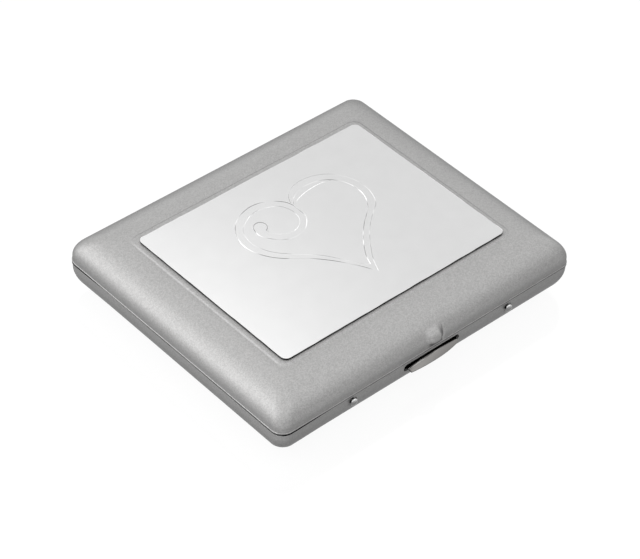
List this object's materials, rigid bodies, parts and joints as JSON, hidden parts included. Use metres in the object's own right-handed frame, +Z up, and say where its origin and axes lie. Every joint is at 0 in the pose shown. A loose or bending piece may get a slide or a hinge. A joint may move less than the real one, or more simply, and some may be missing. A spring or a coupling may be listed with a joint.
{
  "type": "cigarette case",
  "caption": "Slim pocket cigarette case with a hinged lid, a polished plate on top and a spring catch with a press lip at the front.",
  "frame": {"origin": "centre of the flat underside that the closed case rests on", "axes": "+X along the front edge, +Y from the catch back to the hinge, +Z up"},
  "size_m": [0.097, 0.085, 0.018],
  "materials": {
    "pearl_lacquer": "satin silver lacquer with fine metallic grain",
    "polished_plate": "mirror polished, engraved",
    "adhesive_film": "clear adhesive film",
    "plated_steel": "plated sheet steel",
    "spring_steel": "bright spring strip",
    "nickel": "nickel plated",
    "elastic_band": "flat woven elastic"
  },
  "bodies": {
    "base": {"base_shell": "pearl_lacquer", "base_hinge_leaf": "plated_steel", "hinge_pin": "plated_steel", "catch_spring": "spring_steel", "catch_rivet_left": "nickel", "catch_rivet_right": "nickel", "base_band": "elastic_band", "base_band_bracket_front": "plated_steel", "base_band_bracket_rear": "plated_steel"},
    "lid": {"lid_shell": "pearl_lacquer", "lid_plate": "polished_plate", "plate_adhesive": "adhesive_film", "lid_hinge_leaf": "plated_steel", "lid_keeper": "plated_steel", "lid_band": "elastic_band", "lid_band_bracket_front": "plated_steel", "lid_band_bracket_rear": "plated_steel"},
    "catch": {"catch_thumbpiece": "nickel", "thumbpiece_rivet_left": "nickel", "thumbpiece_rivet_right": "nickel"}
  },
  "joints": [
    {"name": "lid_hinge", "type": "hinge", "parent": "base", "child": "lid", "pos_m": [0, 0.04125, 0.00948], "axis": [-1, 0, 0], "range_deg": [0, 180]},
    {"name": "catch_press", "type": "slide", "parent": "base", "child": "catch", "axis": [0, 1, 0], "range_m": [0, 0.0011], "stiffness_N_per_m": 3000, "deforming": ["catch_spring"]}
  ]
}
